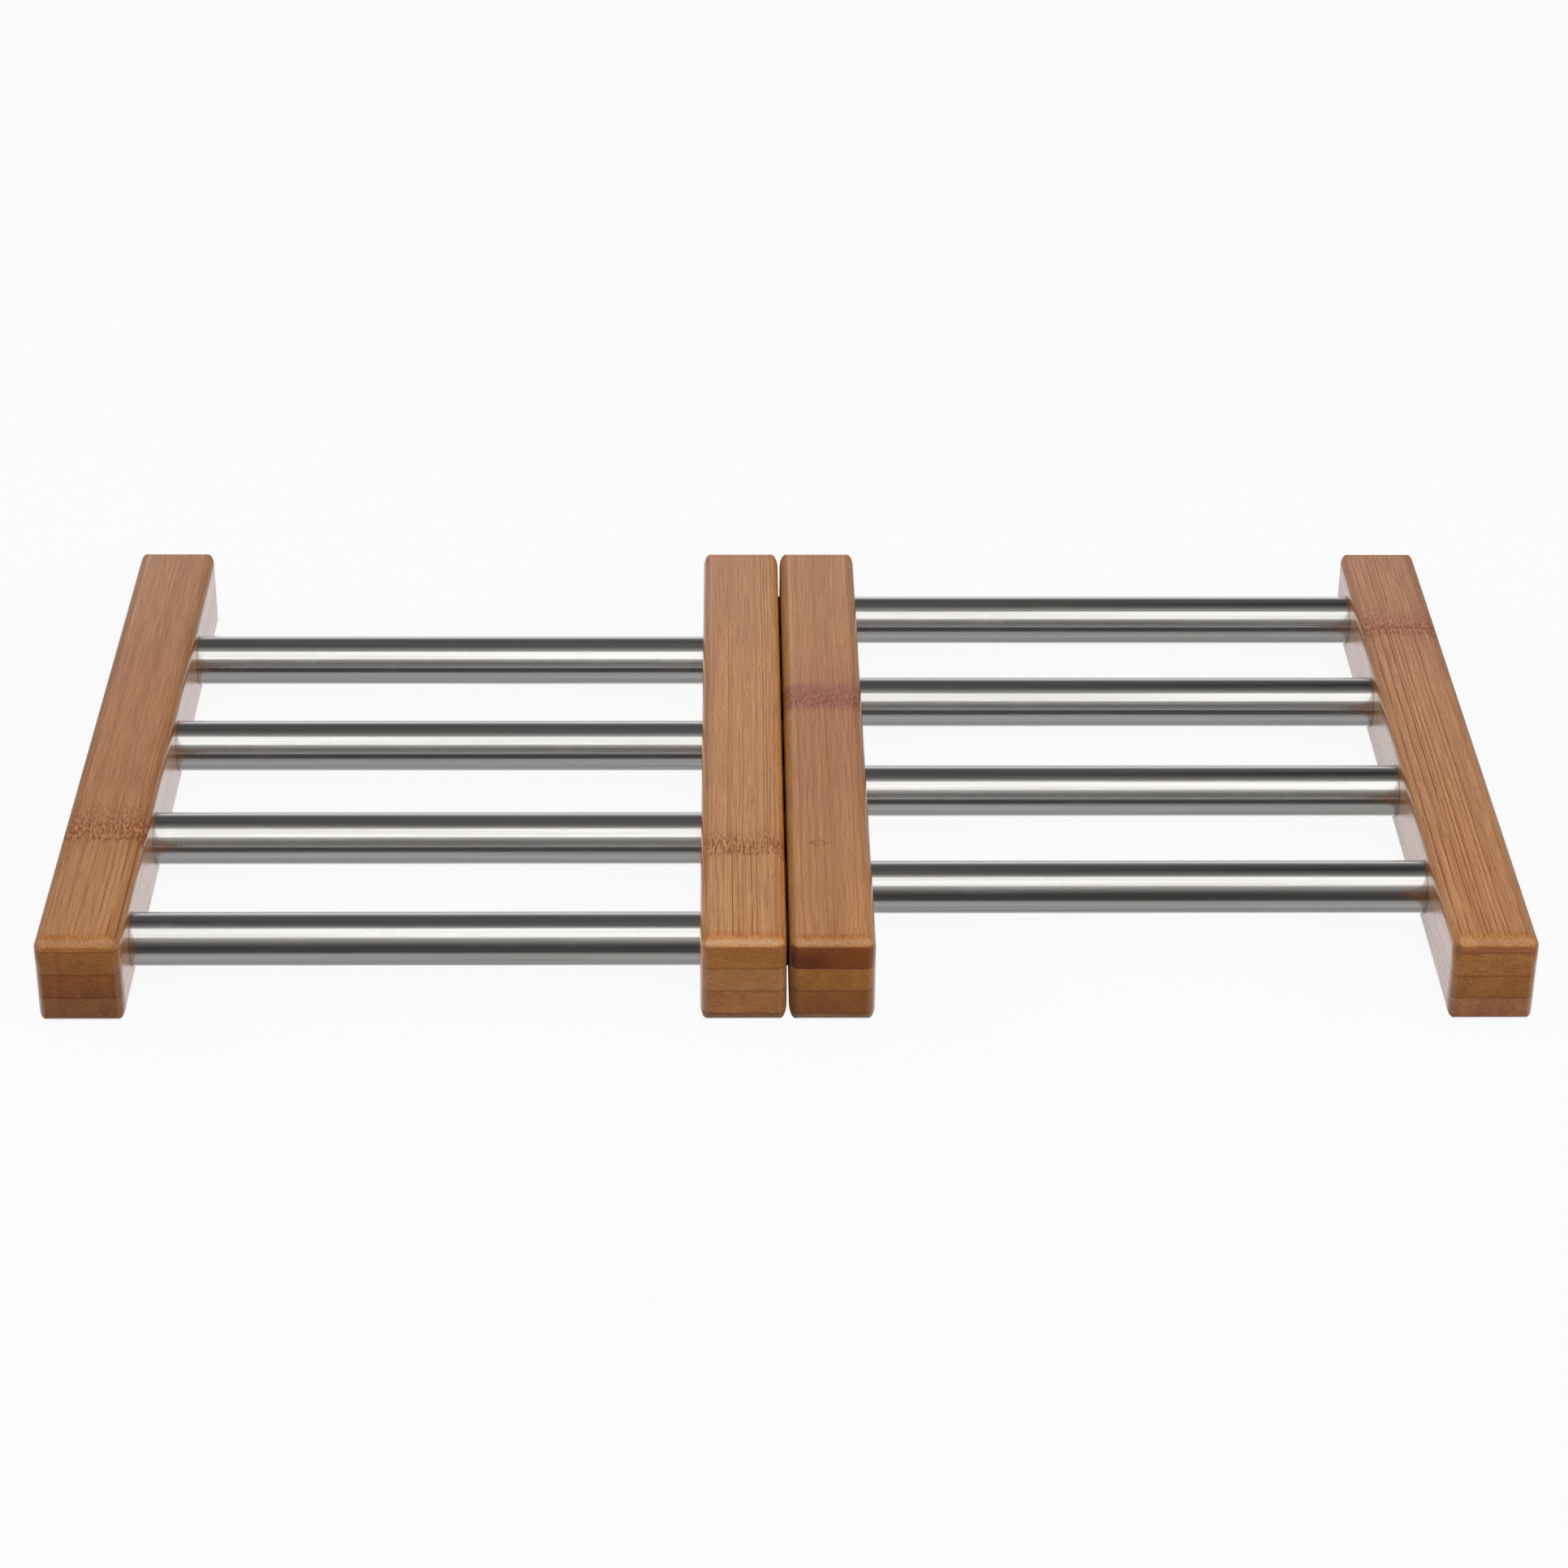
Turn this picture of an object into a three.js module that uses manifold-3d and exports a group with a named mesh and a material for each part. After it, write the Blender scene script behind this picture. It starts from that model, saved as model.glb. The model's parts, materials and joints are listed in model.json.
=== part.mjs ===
// Expanding trivet: two frames of bamboo bars and stainless steel tubes that slide through each other.
//
// A frame is an outer bar, an inner bar and four tubes. The tubes end in blind bores in both of
// their own bars and run through the other frame's inner bar, so pushing the outer bars together
// closes the trivet. The right frame is the left one turned half round about the vertical, and
// its tubes then lie midway between the left frame's. The trivet is drawn fully open.
//
// Millimetres, +Z up, +X along the tubes. The origin is the middle of the surface it stands on.

import * as THREE from "three";
import { mergeVertices } from "three/addons/utils/BufferGeometryUtils.js";
import Module from "manifold-3d";

const wasm = await Module();
wasm.setup();

// Bars
const barLength = 190;
const barWidth = 19;
const barHeight = 21.5;
const barEdgeRadius = 3.4;
const endSanding = 0.4; // off each rounded end, so the rounds meet its flat face in a crisp line

// Tubes
const tubesPerFrame = 4;
const tubeDiameter = 12;
const tubeWall = 0.5;
const openTubeSpan = 126; // of a tube that shows between an outer and an inner bar
const endMargin = 18; // from a bar's end to the nearest tube's axis

// Bores in the bars
const boreFloor = 7; // of wood left behind a blind bore
const seatClearance = 0.15; // round a tube in a blind bore of its own bars
const slideClearance = 0.25; // round a tube in the bar that slides on it
const seatEndGap = 0.3; // from a tube's end to the floor of its bore
const mouthChamfer = 0.3; // round each bore where a tube goes into the wood
const openGap = 0.5; // between the two inner bars of the open trivet

// Brads that pin the tube ends, driven up from the underside
const bradShankDiameter = 1.2;
const bradHeadDiameter = 2.4;
const bradHeadHeight = 0.5;
const bradTipLength = 1.2;
const bradReach = 3; // from the tube's wall to the brad's tip
const bradRecess = 0.4; // of the head below the bar's underside
const bradClearance = 0.1;

// Fineness of round forms
const edgeSegments = 3; // twice as many facets in each quarter round of a bar's edges
const tubeSides = 40;
const bradSides = 16;
const cutOverrun = 1;

// Worked out from the sizes above
const tubeRadius = tubeDiameter / 2;
const seatDepth = barWidth - boreFloor;
const tubeLength = openTubeSpan + barWidth + openGap + 2 * (seatDepth - seatEndGap);
const tubeSpacing = (barLength - 2 * endMargin) / (2 * tubesPerFrame - 1); // over both frames
const innerBarX = (openGap + barWidth) / 2;
const outerBarX = -(openGap / 2 + barWidth + openTubeSpan + barWidth / 2);
const bradFromFace = seatDepth / 2; // brads stand halfway along the tube's seat
const bradBaseZ = bradRecess - barHeight / 2; // from the tube's axis, which is at mid height
const bradLength = -tubeRadius + tubeWall + bradReach - bradBaseZ;

// The places of a frame's own tubes along its bars: every second one, from the front end.
const tubeYs = Array.from(
  { length: tubesPerFrame },
  (_, i) => endMargin - barLength / 2 + 2 * i * tubeSpacing,
);

const bamboo = new THREE.MeshStandardMaterial({ color: 0xb98a62, roughness: 0.45, metalness: 0 });
const steel = new THREE.MeshStandardMaterial({ color: 0xc6c4bf, roughness: 0.3, metalness: 1 });
const bradSteel = new THREE.MeshStandardMaterial({ color: 0x8f8f8c, roughness: 0.4, metalness: 1 });

// Solids and geometry

function solidOf(geometry) {
  geometry.deleteAttribute("normal");
  geometry.deleteAttribute("uv");
  const merged = mergeVertices(geometry);
  const vertProperties = merged.attributes.position.array;
  const triVerts = new Uint32Array(merged.index.array);
  return new wasm.Manifold(new wasm.Mesh({ numProp: 3, vertProperties, triVerts }));
}

function geometryOf(solid) {
  const mesh = solid.getMesh();
  const geometry = new THREE.BufferGeometry();
  geometry.setAttribute("position", new THREE.BufferAttribute(mesh.vertProperties, mesh.numProp));
  geometry.setIndex(new THREE.BufferAttribute(mesh.triVerts, 1));
  const flat = geometry.toNonIndexed();
  flat.computeVertexNormals();
  return flat;
}

// A cylinder along X, centred on the origin.
function rodAlongX(radius, length) {
  const rod = new THREE.CylinderGeometry(radius, radius, length, tubeSides);
  return solidOf(rod.rotateZ(Math.PI / 2));
}

// A cylinder along Z that starts at height z.
function rodAlongZ(radius, length, x, y, z) {
  const rod = new THREE.CylinderGeometry(radius, radius, length, bradSides);
  rod.rotateX(Math.PI / 2);
  rod.translate(x, y, z + length / 2);
  return solidOf(rod);
}

// The cutter for a bore along X that is chamfered at its mouth, with its middle at height 0. It
// starts at x, runs depth towards side and comes out of the wood there.
function boreCutter(radius, depth, x, y, side) {
  const mouthRadius = radius + mouthChamfer;
  const profile = [
    new THREE.Vector2(0, 0),
    new THREE.Vector2(radius, 0),
    new THREE.Vector2(radius, depth - mouthChamfer),
    new THREE.Vector2(mouthRadius, depth),
    new THREE.Vector2(mouthRadius, depth + cutOverrun),
    new THREE.Vector2(0, depth + cutOverrun),
  ];
  const cutter = new THREE.LatheGeometry(profile, tubeSides);
  cutter.rotateZ((-side * Math.PI) / 2);
  cutter.translate(x, y, 0);
  return solidOf(cutter);
}

// A prism through the origin, along Z, with the section of a bar seen from one side.
function roundedPrism(width, height, depth) {
  const x = width / 2 - barEdgeRadius;
  const y = height / 2 - barEdgeRadius;
  const section = new THREE.Shape();
  section.absarc(x, y, barEdgeRadius, 0, Math.PI / 2);
  section.absarc(-x, y, barEdgeRadius, Math.PI / 2, Math.PI);
  section.absarc(-x, -y, barEdgeRadius, Math.PI, 1.5 * Math.PI);
  section.absarc(x, -y, barEdgeRadius, 1.5 * Math.PI, 2 * Math.PI);
  const settings = { depth, bevelEnabled: false, curveSegments: edgeSegments };
  const prism = new THREE.ExtrudeGeometry(section, settings);
  prism.translate(0, 0, -depth / 2);
  return prism;
}

// A bar without holes, centred on the origin. A round-over cutter has run along all its edges
// and its ends are sanded flat, so it is what three rounded prisms have in common, two of them
// longer than the bar, and the rounds meet in mitres at its corners.
function barBlank() {
  const unsanded = barLength + 2 * endSanding;
  const across = barWidth + 2 * cutOverrun;
  const upwards = barHeight + 2 * cutOverrun;
  const alongX = roundedPrism(barHeight, unsanded, across).rotateY(Math.PI / 2);
  const alongY = roundedPrism(barWidth, barHeight, barLength).rotateX(Math.PI / 2);
  const alongZ = roundedPrism(barWidth, unsanded, upwards);
  return solidOf(alongX).intersect(solidOf(alongY)).intersect(solidOf(alongZ));
}

// The hole for a brad in wood: a shank hole up to the bore, and a wider one for the sunk head.
function bradHole(x, y) {
  const mouthZ = -barHeight / 2 - cutOverrun;
  const shankRadius = bradShankDiameter / 2 + bradClearance;
  const headRadius = bradHeadDiameter / 2 + bradClearance;
  const shankHole = rodAlongZ(shankRadius, -mouthZ, x, y, mouthZ);
  const headDepth = cutOverrun + bradRecess + bradHeadHeight + bradClearance;
  return shankHole.add(rodAlongZ(headRadius, headDepth, x, y, mouthZ));
}

// A bar with a blind bore and a brad hole for each of its own frame's tubes. side is the side
// that the tubes come in from, 1 for +X and -1 for -X.
function seatedBar(side) {
  const boreRadius = tubeRadius + seatClearance;
  const floorX = side * (barWidth / 2 - seatDepth);
  const bradX = side * (barWidth / 2 - bradFromFace);
  let bar = barBlank();
  for (const y of tubeYs) {
    bar = bar.subtract(boreCutter(boreRadius, seatDepth, floorX, y, side));
    bar = bar.subtract(bradHole(bradX, y));
  }
  return bar;
}

function outerBar() {
  return geometryOf(seatedBar(1));
}

// The inner bar has through bores too, for the tubes of the other frame.
function innerBar() {
  const boreRadius = tubeRadius + slideClearance;
  let bar = seatedBar(-1);
  for (const y of tubeYs) {
    for (const side of [-1, 1]) {
      bar = bar.subtract(boreCutter(boreRadius, barWidth / 2, 0, -y, side));
    }
  }
  return geometryOf(bar);
}

// A tube, centred on the origin, with a hole in its wall for the brad at each end.
function tube() {
  const bore = rodAlongX(tubeRadius - tubeWall, tubeLength + 2 * cutOverrun);
  let body = rodAlongX(tubeRadius, tubeLength).subtract(bore);
  const holeRadius = bradShankDiameter / 2 + bradClearance;
  for (const side of [-1, 1]) {
    const x = side * (tubeLength / 2 + seatEndGap - (seatDepth - bradFromFace));
    body = body.subtract(rodAlongZ(holeRadius, tubeRadius, x, 0, -tubeRadius - cutOverrun));
  }
  return geometryOf(body);
}

// A brad that stands on its head at the origin.
function brad() {
  const headRadius = bradHeadDiameter / 2;
  const shankRadius = bradShankDiameter / 2;
  const profile = [
    new THREE.Vector2(0, 0),
    new THREE.Vector2(headRadius, 0),
    new THREE.Vector2(headRadius, bradHeadHeight),
    new THREE.Vector2(shankRadius, bradHeadHeight),
    new THREE.Vector2(shankRadius, bradLength - bradTipLength),
    new THREE.Vector2(0, bradLength),
  ];
  return new THREE.LatheGeometry(profile, bradSides).rotateX(Math.PI / 2);
}

// Frames

const shapes = { outerBar: outerBar(), innerBar: innerBar(), tube: tube(), brad: brad() };

function place(group, name, geometry, material, x, y, z) {
  const mesh = new THREE.Mesh(geometry, material);
  mesh.name = name;
  mesh.position.set(x, y, z);
  group.add(mesh);
}

// The frame whose outer bar is at -X, in a group on the tubes' level.
function frame(name) {
  const group = new THREE.Group();
  group.position.z = barHeight / 2;
  place(group, name + "_outer_bar", shapes.outerBar, bamboo, outerBarX, 0, 0);
  place(group, name + "_inner_bar", shapes.innerBar, bamboo, innerBarX, 0, 0);
  const tubeX = (outerBarX + innerBarX) / 2;
  const outerBradX = outerBarX + barWidth / 2 - bradFromFace;
  const innerBradX = innerBarX - barWidth / 2 + bradFromFace;
  tubeYs.forEach((y, i) => {
    const number = i + 1;
    place(group, name + "_tube_" + number, shapes.tube, steel, tubeX, y, 0);
    place(group, name + "_outer_brad_" + number, shapes.brad, bradSteel, outerBradX, y, bradBaseZ);
    place(group, name + "_inner_brad_" + number, shapes.brad, bradSteel, innerBradX, y, bradBaseZ);
  });
  return group;
}

const leftFrame = frame("left_frame");
const rightFrame = frame("right_frame");
rightFrame.rotation.z = Math.PI;

const trivet = new THREE.Group();
trivet.add(leftFrame, rightFrame);

export default trivet;
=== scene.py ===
"""Expanding trivet: two frames of laminated bamboo bars and stainless steel tubes.

Every place and outer size comes from the CAD frame. The bars and tubes are built again here with
finer rounds and real bores, the brads keep their CAD shape, and all of them get procedural
materials. Lengths are metres unless a name says otherwise, +Z is up and +X runs along the tubes.
"""

import itertools
import json
import math
from dataclasses import dataclass

import bmesh
import bpy
from mathutils import Matrix, Vector

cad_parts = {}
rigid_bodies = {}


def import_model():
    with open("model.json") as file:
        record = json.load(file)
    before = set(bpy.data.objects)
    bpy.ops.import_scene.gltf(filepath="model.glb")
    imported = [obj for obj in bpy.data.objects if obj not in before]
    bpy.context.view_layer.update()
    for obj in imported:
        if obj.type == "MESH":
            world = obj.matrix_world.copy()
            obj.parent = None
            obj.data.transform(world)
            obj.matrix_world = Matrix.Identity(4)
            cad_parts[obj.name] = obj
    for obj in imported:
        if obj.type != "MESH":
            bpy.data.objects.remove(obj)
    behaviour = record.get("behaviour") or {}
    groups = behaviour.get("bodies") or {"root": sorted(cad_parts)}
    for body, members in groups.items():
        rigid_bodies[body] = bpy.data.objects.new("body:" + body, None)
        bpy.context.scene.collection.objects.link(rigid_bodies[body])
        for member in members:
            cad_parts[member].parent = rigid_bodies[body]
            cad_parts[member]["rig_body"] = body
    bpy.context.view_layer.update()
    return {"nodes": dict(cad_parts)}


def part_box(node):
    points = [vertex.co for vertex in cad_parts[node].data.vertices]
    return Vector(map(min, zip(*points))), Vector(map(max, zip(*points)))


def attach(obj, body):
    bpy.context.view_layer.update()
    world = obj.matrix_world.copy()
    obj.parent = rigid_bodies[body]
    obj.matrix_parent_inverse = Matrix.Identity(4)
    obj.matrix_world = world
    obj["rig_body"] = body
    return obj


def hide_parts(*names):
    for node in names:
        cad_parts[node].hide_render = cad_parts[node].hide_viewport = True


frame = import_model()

MM = 0.001
X_AXIS = 0
Y_AXIS = 1
Z_AXIS = 2

# Bars
EDGE_RADIUS = 3.4 * MM
END_SANDING = 0.4 * MM  # taken off a rounded end, so the rounds meet its face in a crisp line
CORNER_RADIUS = 2.6 * MM  # of the ball that a worn corner's tip is part of
CORNER_REACH = 1.01 * CORNER_RADIUS  # just past the flats, which it leaves alone
SEAT_CLEARANCE = 0.06 * MM
SLIDE_CLEARANCE = 0.12 * MM
MOUTH_CHAMFER = 0.22 * MM
SEAT_END_GAP = 0.3 * MM

# Tubes
TUBE_WALL = 0.5 * MM
TUBE_RIM_ROUND = 0.1 * MM

# Brads
BRAD_SHANK_RADIUS = 0.6 * MM
BRAD_HEAD_HEIGHT = 0.5 * MM
BRAD_CLEARANCE = 0.1 * MM

# Fineness
ROUND_STEPS = 12  # facets in a quarter round of a bar's edges
CORNER_STEPS = 8
TUBE_SIDES = 96
BORE_SIDES = 64
BRAD_HOLE_SIDES = 24
CUT_OVERRUN = 2 * MM
SLIVER = 0.002 * MM  # points nearer to each other than this become one
SHARP_ANGLE = math.radians(22)

# Camera, solved from the photograph's edges with the bars at their CAD sizes
CAMERA_PLACE = Vector((-13.46, -839.0, 484.85)) * MM
CAMERA_DIP = math.radians(29.693)
CAMERA_YAW = math.radians(0.9425)
CAMERA_ROLL = math.radians(0.445)
CAMERA_LENS_MM = 92.57
SENSOR_MM = 36


# Meshes

def scene_object(name, data):
    obj = bpy.data.objects.new(name, data)
    bpy.context.scene.collection.objects.link(obj)
    return obj


def object_from(form, name):
    """An object with the mesh that form holds, and form is freed."""
    mesh = bpy.data.meshes.new(name)
    form.to_mesh(mesh)
    form.free()
    return scene_object(name, mesh)


def place_by(axis, along, a, b):
    """The place at along on an axis, and at a and b on the next two in the cyclic order x, y, z."""
    place = Vector((0, 0, 0))
    place[axis] = along
    place[(axis + 1) % 3] = a
    place[(axis + 2) % 3] = b
    return place


def prism(outline, axis, length):
    """A closed prism through the origin along an axis, with an outline of (a, b) pairs."""
    form = bmesh.new()
    low = [form.verts.new(place_by(axis, -length / 2, a, b)) for a, b in outline]
    high = [form.verts.new(place_by(axis, length / 2, a, b)) for a, b in outline]
    count = len(outline)
    for i in range(count):
        j = (i + 1) % count
        form.faces.new((low[i], low[j], high[j], high[i]))
    form.faces.new(list(reversed(low)))
    form.faces.new(high)
    return object_from(form, "prism")


def rounded_rectangle(width, height, radius):
    points = []
    corners = ((1, 1, 0), (-1, 1, 1), (-1, -1, 2), (1, -1, 3))
    for side_a, side_b, quarter in corners:
        for step in range(ROUND_STEPS + 1):
            angle = (quarter + step / ROUND_STEPS) * math.pi / 2
            a = side_a * (width / 2 - radius) + radius * math.cos(angle)
            b = side_b * (height / 2 - radius) + radius * math.sin(angle)
            points.append((a, b))
    return points


def lathe(profile, sides, axis, centre):
    """A closed solid turned about an axis through centre. The profile is a loop of
    (along, radius) pairs, and a pair with no radius is a point on the axis."""
    form = bmesh.new()
    rings = []
    for along, radius in profile:
        ring = []
        for i in range(sides if radius else 1):
            angle = 2 * math.pi * i / sides
            place = place_by(axis, along, radius * math.cos(angle), radius * math.sin(angle))
            ring.append(form.verts.new(place + centre))
        rings.append(ring)
    for this, other in zip(rings, rings[1:] + rings[:1]):
        for i in range(sides):
            j = (i + 1) % sides
            corners = []
            for ring, step in ((this, i), (this, j), (other, j), (other, i)):
                corner = ring[step % len(ring)]
                if corner not in corners:
                    corners.append(corner)
            if len(corners) > 2:
                form.faces.new(corners)
    bmesh.ops.recalc_face_normals(form, faces=form.faces)
    return object_from(form, "lathe")


def worn_corners(size):
    """The convex hull of an eighth of a ball at each corner. It trims the tips where rounds meet."""
    form = bmesh.new()
    middles = size / 2 - Vector((CORNER_RADIUS, CORNER_RADIUS, CORNER_RADIUS))
    for side_x, side_y, side_z in itertools.product((-1, 1), repeat=3):
        for row in range(CORNER_STEPS + 1):
            tilt = row / CORNER_STEPS * math.pi / 2
            for step in range(CORNER_STEPS + 1 if row else 1):
                turn = step / CORNER_STEPS * math.pi / 2
                x = middles.x + CORNER_REACH * math.sin(tilt) * math.cos(turn)
                y = middles.y + CORNER_REACH * math.sin(tilt) * math.sin(turn)
                z = middles.z + CORNER_REACH * math.cos(tilt)
                form.verts.new((side_x * x, side_y * y, side_z * z))
    bmesh.ops.convex_hull(form, input=form.verts)
    bmesh.ops.recalc_face_normals(form, faces=form.faces)
    return object_from(form, "worn_corners")


def combine(obj, cutter, operation):
    """Cuts obj with cutter, or keeps what they share, and removes cutter."""
    modifier = obj.modifiers.new("combine", "BOOLEAN")
    modifier.object = cutter
    modifier.operation = operation
    modifier.solver = "EXACT"
    made = bpy.data.meshes.new_from_object(obj.evaluated_get(bpy.context.evaluated_depsgraph_get()))
    obj.modifiers.clear()
    obj.data = made
    bpy.data.objects.remove(cutter)


def finish_surface(obj):
    """A clean closed mesh with smooth shading that stops at the sharp edges and leaves the flats flat."""
    mesh = obj.data
    form = bmesh.new()
    form.from_mesh(mesh)
    bmesh.ops.remove_doubles(form, verts=form.verts, dist=SLIVER)
    bmesh.ops.dissolve_degenerate(form, edges=form.edges, dist=SLIVER)
    form.to_mesh(mesh)
    form.free()
    mesh.materials.clear()
    mesh.shade_smooth()
    mesh.set_sharp_from_angle(angle=SHARP_ANGLE)
    weighted = obj.modifiers.new("flat_faces_first", "WEIGHTED_NORMAL")
    weighted.keep_sharp = True


def mesh_at(obj, centre):
    """Puts obj's origin at centre, with its mesh where it was."""
    obj.data.transform(Matrix.Translation(-centre))
    obj.location = centre


# Shapes of the pieces

def bar_blank(size):
    """A bar without holes round the origin, rounded along all its edges and sanded flat at its ends."""
    width, length, height = size
    unsanded = length + 2 * END_SANDING
    blank = prism(rounded_rectangle(height, width, EDGE_RADIUS), Y_AXIS, length)
    from_side = rounded_rectangle(unsanded, height, EDGE_RADIUS)
    combine(blank, prism(from_side, X_AXIS, width + CUT_OVERRUN), "INTERSECT")
    from_above = rounded_rectangle(width, unsanded, EDGE_RADIUS)
    combine(blank, prism(from_above, Z_AXIS, height + CUT_OVERRUN), "INTERSECT")
    combine(blank, worn_corners(Vector((width, unsanded, height))), "INTERSECT")
    return blank


def bore(radius, floor_x, mouth_x, centre):
    """The cutter for a bore that is chamfered at its mouth."""
    outwards = math.copysign(1, mouth_x - floor_x)
    profile = [
        (floor_x, 0),
        (floor_x, radius),
        (mouth_x - outwards * MOUTH_CHAMFER, radius),
        (mouth_x, radius + MOUTH_CHAMFER),
        (mouth_x + outwards * CUT_OVERRUN, radius + MOUTH_CHAMFER),
        (mouth_x + outwards * CUT_OVERRUN, 0),
    ]
    return lathe(profile, BORE_SIDES, X_AXIS, Vector((0, centre.y, centre.z)))


def boxes_of(kind):
    """The boxes of all pieces of a kind, such as tube."""
    return [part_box(name) for name in frame["nodes"] if "_" + kind + "_" in name]


def cut_bores(bar, low, high):
    """Cuts a blind bore for each tube that ends in the bar and a through one for each that crosses it."""
    for tube_low, tube_high in boxes_of("tube"):
        centre = (tube_low + tube_high) / 2
        radius = (tube_high.z - tube_low.z) / 2
        if tube_high.x < low.x or tube_low.x > high.x:
            continue
        if tube_low.x > low.x:
            floor_x = tube_low.x - SEAT_END_GAP
            combine(bar, bore(radius + SEAT_CLEARANCE, floor_x, high.x, centre), "DIFFERENCE")
        elif tube_high.x < high.x:
            floor_x = tube_high.x + SEAT_END_GAP
            combine(bar, bore(radius + SEAT_CLEARANCE, floor_x, low.x, centre), "DIFFERENCE")
        else:
            middle = (low.x + high.x) / 2
            for mouth_x in (low.x, high.x):
                combine(bar, bore(radius + SLIDE_CLEARANCE, middle, mouth_x, centre), "DIFFERENCE")


def brad_hole(low, high, reach):
    """The cutter for a brad's hole in a bar, open downwards and up to the height reach."""
    centre = (low + high) / 2
    shank = BRAD_SHANK_RADIUS + BRAD_CLEARANCE
    head = (high.x - low.x) / 2 + BRAD_CLEARANCE
    shoulder_z = low.z + BRAD_HEAD_HEIGHT + BRAD_CLEARANCE
    profile = [
        (low.z - CUT_OVERRUN, 0),
        (low.z - CUT_OVERRUN, head),
        (shoulder_z, head),
        (shoulder_z, shank),
        (reach, shank),
        (reach, 0),
    ]
    return lathe(profile, BRAD_HOLE_SIDES, Z_AXIS, Vector((centre.x, centre.y, 0)))


def brads_within(low, high):
    """The boxes of the brads whose axes lie between low and high, seen from above."""
    found = []
    for brad_low, brad_high in boxes_of("brad"):
        centre = (brad_low + brad_high) / 2
        if low.x < centre.x < high.x and low.y < centre.y < high.y:
            found.append((brad_low, brad_high))
    return found


def make_bar(node_name):
    low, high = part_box(node_name)
    centre = (low + high) / 2
    bar = bar_blank(high - low)
    bar.data.transform(Matrix.Translation(centre))
    cut_bores(bar, low, high)
    for brad_low, brad_high in brads_within(low, high):
        combine(bar, brad_hole(brad_low, brad_high, centre.z), "DIFFERENCE")
    mesh_at(bar, centre)
    finish_surface(bar)
    return bar


def make_tube(node_name):
    low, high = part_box(node_name)
    centre = (low + high) / 2
    outer = (high.z - low.z) / 2
    inner = outer - TUBE_WALL
    rim = TUBE_RIM_ROUND
    profile = [
        (low.x + rim, outer),
        (high.x - rim, outer),
        (high.x, outer - rim),
        (high.x, inner),
        (low.x, inner),
        (low.x, outer - rim),
    ]
    tube = lathe(profile, TUBE_SIDES, X_AXIS, Vector((0, centre.y, centre.z)))
    for brad_low, brad_high in brads_within(low, high):
        middle = (brad_low + brad_high) / 2
        radius = BRAD_SHANK_RADIUS + BRAD_CLEARANCE
        below = low.z - CUT_OVERRUN
        hole = [(below, 0), (below, radius), (centre.z, radius), (centre.z, 0)]
        cutter = lathe(hole, BRAD_HOLE_SIDES, Z_AXIS, Vector((middle.x, middle.y, 0)))
        combine(tube, cutter, "DIFFERENCE")
    mesh_at(tube, centre)
    finish_surface(tube)
    return tube


# Material helpers

def colour(red, green, blue):
    """A colour given as it shows on a screen, 0 to 255, in the linear values that shaders use."""
    linear = []
    for value in (red, green, blue):
        share = value / 255
        linear.append(share / 12.92 if share <= 0.04045 else ((share + 0.055) / 1.055) ** 2.4)
    return (*linear, 1)


class Field:
    """A number that varies over a surface, held by a node's socket. Arithmetic on it adds nodes."""

    def __init__(self, nodes, socket):
        self.nodes = nodes
        self.socket = socket

    def __add__(self, other):
        return self.nodes.math("ADD", self, other)

    def __radd__(self, other):
        return self.nodes.math("ADD", other, self)

    def __sub__(self, other):
        return self.nodes.math("SUBTRACT", self, other)

    def __rsub__(self, other):
        return self.nodes.math("SUBTRACT", other, self)

    def __mul__(self, other):
        return self.nodes.math("MULTIPLY", self, other)

    def __truediv__(self, other):
        if isinstance(other, Field):
            return self.nodes.math("DIVIDE", self, other)
        return self * (1 / other)

    def __neg__(self):
        return 0.0 - self

    def __abs__(self):
        return self.nodes.math("ABSOLUTE", self)

    def root(self):
        return self.nodes.math("SQRT", self)

    def at_least(self, other):
        return self.nodes.math("MAXIMUM", self, other)

    def at_most(self, other):
        return self.nodes.math("MINIMUM", self, other)

    def above(self, level):
        """1 where the number is more than level and 0 elsewhere."""
        return self.nodes.math("GREATER_THAN", self, level)

    def rise(self, start, end):
        """0 up to start, 1 from end on and smooth between, or the other way round if end is less."""
        flip = end < start
        inputs = {"Value": self, "From Min": min(start, end), "From Max": max(start, end)}
        inputs["To Min"] = 1.0 if flip else 0.0
        inputs["To Max"] = 0.0 if flip else 1.0
        node = self.nodes.add("ShaderNodeMapRange", inputs, interpolation_type="SMOOTHSTEP")
        return Field(self.nodes, node.outputs["Result"])


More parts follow.
